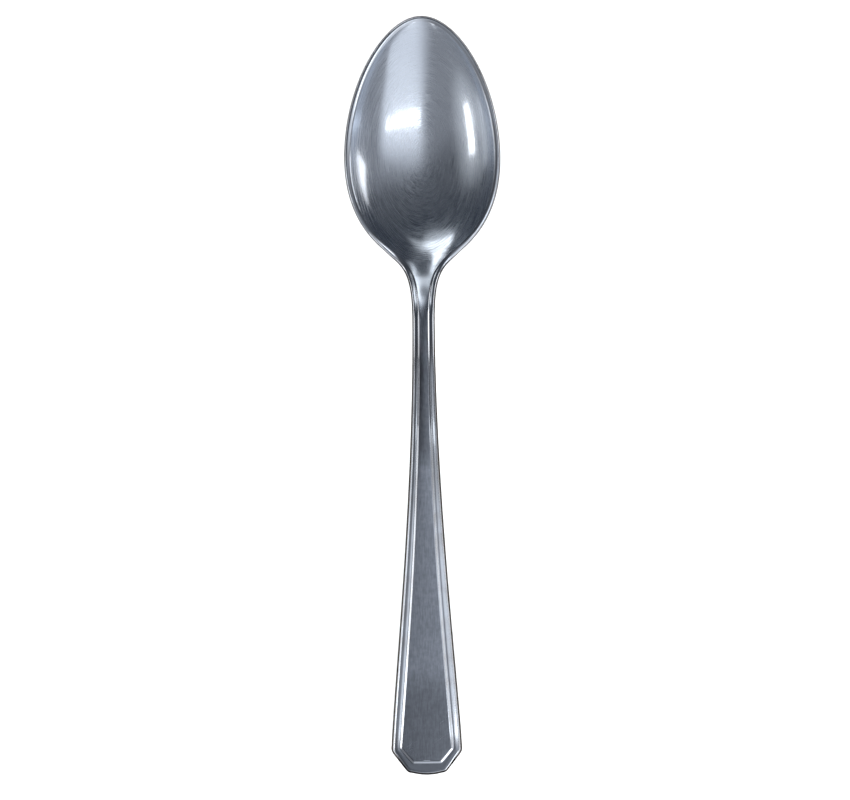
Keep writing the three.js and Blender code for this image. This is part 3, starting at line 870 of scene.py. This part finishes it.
def back_steel(finish, grain, hairlines, dulling):
    """Underside: polished over, with hairlines from use."""
    material, nodes, place = new_steel("back_steel")
    polish = nodes.group(grain, place, Density=BACK_POLISH)["Lines"]
    patches = nodes.group(dulling, place, Size=9)["Patches"]
    scratches = nodes.group(hairlines, place, Turn=turned(24), Density=BACK_SCRATCHES, Rarity=0.72)["Mask"]
    metal = nodes.mix(nodes.product(patches, 0.5), rgba(finish.steel), rgba(finish.worn))
    rough = nodes.line(scratches, 0.12, nodes.line(polish, 0.2, finish.border_roughness))
    height = nodes.line(scratches, -0.6, polish)
    return coated(material, nodes, metal, rough, height, strength=0.6, depth=0.01)


# Studio

BOWL = (0, 0.05, 0.005)  # place in the bowl that the lights face
COOL = (0.93, 0.97, 1)  # tint of the lights

# Softboxes: place, point faced and size in metres, radiance, and turn in degrees
SOFTBOXES = {
    "strip": ((0.907, -0.325, 1.48), (0.907, -0.325, 0), (1.726, 0.17), 2.6, -1.5),
    "side_box": ((-1.19, -0.13, 0.53), BOWL, (0.38, 0.19), 3.4, 0),
    "right_box": ((1.16, 0.31, 0.09), BOWL, (0.5, 0.24), 2.6, -26),
    "left_card": ((-0.025, -0.045, 0.014), (0, -0.045, 0.014), (0.075, 0.006), 1.4, -12),
    "right_card": ((0.025, -0.045, 0.013), (0, -0.045, 0.013), (0.075, 0.006), 1, 12),
    "left_neck_card": ((-0.02, 0.017, 0.017), (0, 0.017, 0.017), (0.016, 0.012), 1.1, 0),
    "right_neck_card": ((0.02, 0.017, 0.017), (0, 0.017, 0.017), (0.016, 0.012), 0.3, 0),
    "end_card": ((0.045, -0.112, 0.03), (0, -0.073, 0.005), (0.03, 0.025), 2, 0),
    "floor_light": ((0, 0, 1.5), (0, 0, 0), (2.4, 2.4), 3.6, 0),
}
TINTED = "strip"
OFF_METAL = "floor_light"  # lights the floor only, and isn't mirrored in the steel

# Window overhead, on a ceiling at a height of 1, and the places between which its sides fade
WINDOW_SIDE = (1.8, 1.1)
WINDOW_SIDE_SLANT = 0.36
WINDOW_SIDE_BEND = 0.6  # more slant from a place 1 towards the handle
WINDOW_MIDDLE_SLANT = -0.087
WINDOW_MIDDLE_SOFTNESS = 0.17
WINDOW_MIDDLE_SOFTENING = 0.35  # more softness from a place 0.4 towards the handle
WINDOW_FAR = (0.16, -0.12)
WINDOW_LOW = (0.05, 0.2)

# Arch of light on a wall at a distance of 1 behind the tip
ARCH_HEIGHT = 0.645
ARCH_FALL = -0.52  # of its left leg
ARCH_RISE = 0.05  # of its right arm
ARCH_BREADTH = 0.105
ARCH_BROADENING = 0.55
ARCH_RADIANCE = (0.5, -0.5, 0.3, 2.4)
ARCH_HAZE = 0.65

GROUND_RIGHT = 1.2
GROUND_LEFT = 0.6
SIDE_BOX_WAY = (-0.906, -0.137, 0.4)
SIDE_BOX_HAZE = 0.34


def add_softbox(name, place, target, size, radiance, turn):
    """A rectangular softbox facing a point and turned on its own axis."""
    lamp = bpy.data.lights.new(name, "AREA")
    lamp.shape = "RECTANGLE"
    lamp.size, lamp.size_y = size
    lamp.energy = radiance * pi * size[0] * size[1]
    if name == TINTED:
        lamp.color = COOL
    box = bpy.data.objects.new(name, lamp)
    box.location = place
    way = Vector(target) - Vector(place)
    facing = way.to_track_quat("-Z", "Y") @ Quaternion((0, 0, 1), radians(turn))
    box.rotation_euler = facing.to_euler()
    box.visible_camera = False
    box.visible_glossy = name != OFF_METAL
    bpy.context.scene.collection.objects.link(box)


def window_glow(nodes, x, y, z):
    """Where the soft edged window overhead is seen: to the right of the spoon and towards its handle."""
    up = nodes.math("MAXIMUM", z, 0.02)
    across = nodes.math("DIVIDE", x, up)
    along = nodes.math("DIVIDE", y, up)
    near = nodes.positive(nodes.line(along, -1, -0.4))
    softness = nodes.line(near, WINDOW_MIDDLE_SOFTENING, WINDOW_MIDDLE_SOFTNESS)
    past_middle = nodes.math("DIVIDE", nodes.line(along, WINDOW_MIDDLE_SLANT, across), softness)
    bend = nodes.product(nodes.math("MINIMUM", nodes.sum(along, 1), 0), WINDOW_SIDE_BEND)
    to_side = nodes.sum(across, nodes.line(along, WINDOW_SIDE_SLANT, bend))
    return nodes.product(
        nodes.ramp(past_middle, -1, 1),
        nodes.ramp(to_side, *WINDOW_SIDE),
        nodes.ramp(along, *WINDOW_FAR),
        nodes.ramp(z, *WINDOW_LOW),
    )


def arch_glow(nodes, x, y, z):
    """Strength of the arch of light behind the tip, broad on the left and thin on the right."""
    back = nodes.math("MAXIMUM", y, 0.05)
    across = nodes.math("DIVIDE", x, back)
    off_middle = nodes.sum(nodes.math("MINIMUM", across, 0), 0.05)
    crown = nodes.line(nodes.product(off_middle, off_middle), ARCH_FALL, ARCH_HEIGHT)
    crown = nodes.line(nodes.positive(across), ARCH_RISE, crown)
    above = nodes.math("SUBTRACT", nodes.math("DIVIDE", z, back), crown)
    leftward = nodes.positive(nodes.line(across, -1, -0.1))
    breadth = nodes.line(nodes.product(leftward, leftward), ARCH_BROADENING, ARCH_BREADTH)
    ends = nodes.product(
        nodes.ramp(across, -1, -0.85), nodes.ramp(across, 0.75, 0.3), nodes.ramp(y, 0.1, 0.25)
    )
    top = nodes.ramp(above, 0.06, -0.01)
    foot = nodes.ramp(nodes.sum(above, breadth), -0.03, 0.03)
    arch = nodes.product(top, foot, ends, nodes.ramp(across, *ARCH_RADIANCE))
    haze = nodes.product(
        nodes.ramp(above, 0.45, 0, 0, ARCH_HAZE), nodes.ramp(above, -0.02, 0.02), ends,
        nodes.ramp(across, 0.1, -0.3),
    )
    return nodes.sum(arch, haze)


def ground_glow(nodes, x, y, z):
    """Strength of the light along the ground at both sides."""
    right = nodes.product(
        nodes.ramp(x, 0.86, 0.96, 0, GROUND_RIGHT), nodes.ramp(y, -0.15, 0.25), nodes.ramp(z, 0.1, 0)
    )
    left = nodes.product(
        nodes.ramp(x, -0.93, -0.98, 0, GROUND_LEFT), nodes.ramp(y, 0.15, 0), nodes.ramp(z, 0.2, 0.1)
    )
    return nodes.product(nodes.ramp(z, -0.12, -0.02), nodes.sum(right, left))


def add_world(light):
    """A dark room, lighter towards the near side, with soft lights in it, behind a pale backdrop."""
    world = bpy.data.worlds.new("studio_room")
    bpy.context.scene.world = world
    world.use_nodes = True
    nodes = Nodes(world.node_tree)
    world.node_tree.nodes.clear()
    way = nodes.add("ShaderNodeTexCoord").outputs["Generated"]
    x, y, z = nodes.split(way)
    away = nodes.line(x, -0.2, y)
    room = nodes.mix(nodes.ramp(away, -0.08, 0.2), rgba(light.grey), rgba(light.dark))
    room = nodes.mix(nodes.ramp(away, 0.25, 0.7), room, rgba(light.back))
    room = nodes.mix(window_glow(nodes, x, y, z), room, rgba(light.window))
    round_box = nodes.ramp(nodes.vector("DOT_PRODUCT", way, SIDE_BOX_WAY), 0.9, 0.99, 0, SIDE_BOX_HAZE)
    glow = nodes.sum(arch_glow(nodes, x, y, z), ground_glow(nodes, x, y, z))
    glow = nodes.sum(glow, round_box)
    lit = {0: glow, 1: COOL, 2: room}
    room = nodes.add("ShaderNodeVectorMath", lit, operation="MULTIPLY_ADD").outputs[0]
    seen = nodes.add("ShaderNodeLightPath").outputs["Is Camera Ray"]
    shade = nodes.add("ShaderNodeBackground", {"Color": nodes.mix(seen, room, rgba(light.floor))})
    nodes.feed(nodes.add("ShaderNodeOutputWorld").inputs["Surface"], shade.outputs[0])


FLOOR_REACH = 4


def add_floor(light):
    """A plain pale floor."""
    mesh = bpy.data.meshes.new("floor")
    corners = [(x * FLOOR_REACH, y * FLOOR_REACH, 0) for x, y in ((-1, -1), (1, -1), (1, 1), (-1, 1))]
    mesh.from_pydata(corners, [], [(0, 1, 2, 3)])
    material = bpy.data.materials.new("pale_floor")
    material.use_nodes = True
    nodes = Nodes(material.node_tree)
    shader = material.node_tree.nodes["Principled BSDF"]
    cloud = nodes.noise(nodes.add("ShaderNodeTexCoord").outputs["Object"], 4, 2)[0]
    nodes.feed(shader.inputs["Base Color"], nodes.mix(cloud, rgba(light.floor), rgba(light.floor, 0.97)))
    shader.inputs["Roughness"].default_value = 0.9
    shader.inputs["Specular IOR Level"].default_value = 0
    mesh.materials.append(material)
    floor = bpy.data.objects.new("floor", mesh)
    bpy.context.scene.collection.objects.link(floor)


PHOTO_HEIGHT = 5.25 * MM  # above the floor, where the photo's width is measured
CAMERA_SHIFT = (0.17 * MM, -0.7 * MM)  # from the middle of the spoon


def add_camera(light):
    """A long lens straight above the spoon."""
    lens = bpy.data.cameras.new("camera")
    lens.lens = lens.sensor_width * (light.camera_height - PHOTO_HEIGHT) / light.photo_width
    camera = bpy.data.objects.new("camera", lens)
    camera.location = (*CAMERA_SHIFT, light.camera_height)
    camera.rotation_euler = (0, 0, -light.roll)
    bpy.context.scene.collection.objects.link(camera)
    bpy.context.scene.camera = camera


# Operators and panel


class TEASPOON_OT_spoon(bpy.types.Operator):
    """Make the spoon, one piece of steel in four finishes"""

    bl_idname = "teaspoon.spoon"
    bl_label = "Make spoon"

    def execute(self, context):
        scene = context.scene
        grids = SpoonShape(scene.spoon_outline, scene.spoon_section).surfaces()
        mesh = spoon_mesh(grids, (0, 1, 2, 3, 3))
        finish = scene.steel_finish
        grain, buffing = grain_group(), buffing_group()
        hairlines, dulling = scratch_group(), dulling_group()
        mesh.materials.append(buffed_steel(finish, grain, buffing, hairlines, dulling))
        mesh.materials.append(polished_steel(finish, grain, dulling))
        mesh.materials.append(edge_steel(finish, grain, dulling))
        mesh.materials.append(back_steel(finish, grain, hairlines, dulling))
        spoon = bpy.data.objects.new("teaspoon_steel", mesh)
        scene.collection.objects.link(spoon)
        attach(spoon, "root")
        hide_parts("teaspoon")
        return {"FINISHED"}


class TEASPOON_OT_studio(bpy.types.Operator):
    """Make the floor, the soft light and the camera"""

    bl_idname = "teaspoon.studio"
    bl_label = "Make studio"

    def execute(self, context):
        light = context.scene.studio_light
        add_floor(light)
        add_world(light)
        for name, values in SOFTBOXES.items():
            add_softbox(name, *values)
        add_camera(light)
        context.scene.view_settings.view_transform = "Standard"
        return {"FINISHED"}


class TEASPOON_PT_panel(bpy.types.Panel):
    """Sizes, finish and light of the teaspoon"""

    bl_idname = "TEASPOON_PT_panel"
    bl_label = "Teaspoon"
    bl_space_type = "VIEW_3D"
    bl_region_type = "UI"
    bl_category = "Teaspoon"

    def draw(self, context):
        for name, kind in SETTINGS.items():
            box = self.layout.box()
            for each in kind.__annotations__:
                box.prop(getattr(context.scene, name), each)
        for operator in OPERATORS:
            self.layout.operator(operator.bl_idname)


SETTINGS = {
    "spoon_outline": SpoonOutline,
    "spoon_section": SpoonSection,
    "steel_finish": SteelFinish,
    "studio_light": StudioLight,
}
OPERATORS = (TEASPOON_OT_spoon, TEASPOON_OT_studio)
CLASSES = (*SETTINGS.values(), *OPERATORS, TEASPOON_PT_panel)


def register():
    for each in CLASSES:
        bpy.utils.register_class(each)
    for name, kind in SETTINGS.items():
        setattr(bpy.types.Scene, name, PointerProperty(type=kind))


def unregister():
    for name in SETTINGS:
        delattr(bpy.types.Scene, name)
    for each in reversed(CLASSES):
        bpy.utils.unregister_class(each)


def main():
    register()
    bpy.ops.teaspoon.spoon()
    bpy.ops.teaspoon.studio()


if __name__ == "__main__":
    main()
